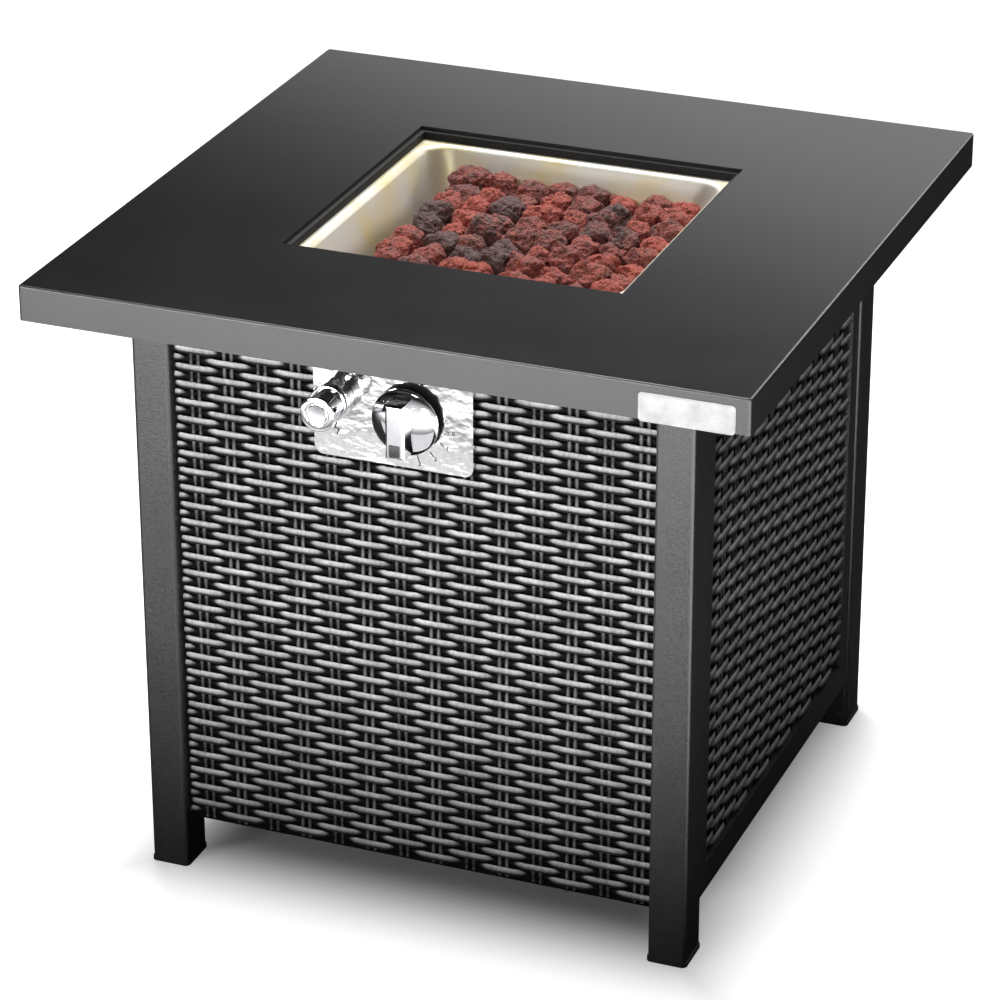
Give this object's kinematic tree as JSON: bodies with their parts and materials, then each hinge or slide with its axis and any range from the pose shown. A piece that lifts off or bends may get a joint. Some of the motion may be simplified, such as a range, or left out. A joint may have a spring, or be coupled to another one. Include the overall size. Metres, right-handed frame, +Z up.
{
  "type": "gas fire pit table",
  "caption": "Square gas fire pit table with a steel top, fire bowl with lava rocks, wicker panels, gas knob, push igniter and rear door.",
  "frame": {"origin": "on the floor under the middle of the table", "axes": "+Z up, the controls face -Y, +X to the right of someone facing the controls"},
  "size_m": [0.711, 0.7118, 0.635],
  "materials": {
    "black_powder_coat": "satin",
    "grey_wicker": "satin",
    "bare_plate": "satin",
    "polished_steel": "polished",
    "chrome_trim": "polished",
    "stainless_sheet": "satin",
    "zinc_fastener": "satin",
    "yellow_brass": "satin",
    "cast_valve": "cast",
    "drawn_aluminium": "satin",
    "black_nylon": "matte",
    "ferrite": "matte",
    "battery_jacket": "gloss",
    "lead_insulation": "matte",
    "white_ceramic": "glazed",
    "lava_rock": "rough"
  },
  "bodies": {
    "root": {"table_top": "black_powder_coat", "leg_front_left": "black_powder_coat", "leg_front_right": "black_powder_coat", "leg_rear_left": "black_powder_coat", "leg_rear_right": "black_powder_coat", "front_panel": "black_powder_coat", "left_panel": "black_powder_coat", "right_panel": "black_powder_coat", "rear_top_rail": "black_powder_coat", "rear_bottom_rail": "black_powder_coat", "base_tray": "black_powder_coat", "front_wicker": "grey_wicker", "left_wicker": "grey_wicker", "right_wicker": "grey_wicker", "badge_plate": "bare_plate", "feet": "black_nylon", "door_catch": "black_nylon", "igniter_nut": "black_nylon", "door_washers": "black_nylon", "catch_magnet": "ferrite", "frame_screws": "zinc_fastener", "stud_nuts": "zinc_fastener", "small_screws": "zinc_fastener", "control_nuts": "zinc_fastener", "door_pins": "zinc_fastener", "electrode_rod": "zinc_fastener", "fire_bowl": "stainless_sheet", "burner_ring": "stainless_sheet", "mixer_elbow": "stainless_sheet", "heat_shield": "stainless_sheet", "pilot_guard": "stainless_sheet", "thermocouple": "stainless_sheet", "burner_nut": "yellow_brass", "orifice": "yellow_brass", "flare_nuts": "yellow_brass", "inlet_fitting": "yellow_brass", "igniter_terminals": "yellow_brass", "gas_tube": "drawn_aluminium", "shield_spacers": "drawn_aluminium", "control_panel": "polished_steel", "igniter_housing": "chrome_trim", "valve_body": "cast_valve", "valve_cap": "cast_valve", "igniter_battery": "battery_jacket", "igniter_lead": "lead_insulation", "electrode_ceramic": "white_ceramic", "lava_rocks": "lava_rock"},
    "door": {"rear_door": "black_powder_coat", "door_pull": "black_powder_coat", "rear_wicker": "grey_wicker", "pull_screw": "zinc_fastener", "door_strike": "zinc_fastener"},
    "plug": {"valve_plug": "yellow_brass"},
    "knob": {"valve_stem": "zinc_fastener", "valve_spring": "zinc_fastener", "knob_set_screw": "zinc_fastener", "gas_knob": "chrome_trim"},
    "button": {"igniter_button": "chrome_trim", "igniter_spring": "zinc_fastener"},
    "shutter": {"air_shutter": "stainless_sheet"}
  },
  "joints": [
    {"name": "door_swing", "type": "hinge", "parent": "root", "child": "door", "pos_m": [-0.2275, 0.272, 0.331], "axis": [0, 0, 1], "range_deg": [0, 110]},
    {"name": "knob_turn", "type": "hinge", "parent": "root", "child": "plug", "pos_m": [0, -0.25, 0.525], "axis": [0, -1, 0], "range_deg": [0, 170]},
    {"name": "knob_push", "type": "slide", "parent": "plug", "child": "knob", "axis": [0, 1, 0], "range_m": [0, 0.003], "stiffness_N_per_m": 1000, "springref_m": -0.002, "deforming": ["valve_spring"]},
    {"name": "igniter_push", "type": "slide", "parent": "root", "child": "button", "axis": [0, 1, 0], "range_m": [0, 0.005], "stiffness_N_per_m": 600, "springref_m": -0.003, "deforming": ["igniter_spring"]},
    {"name": "shutter_turn", "type": "hinge", "parent": "root", "child": "shutter", "pos_m": [0, -0.108, 0.525], "axis": [0, 1, 0], "range_deg": [-45, 45]}
  ]
}
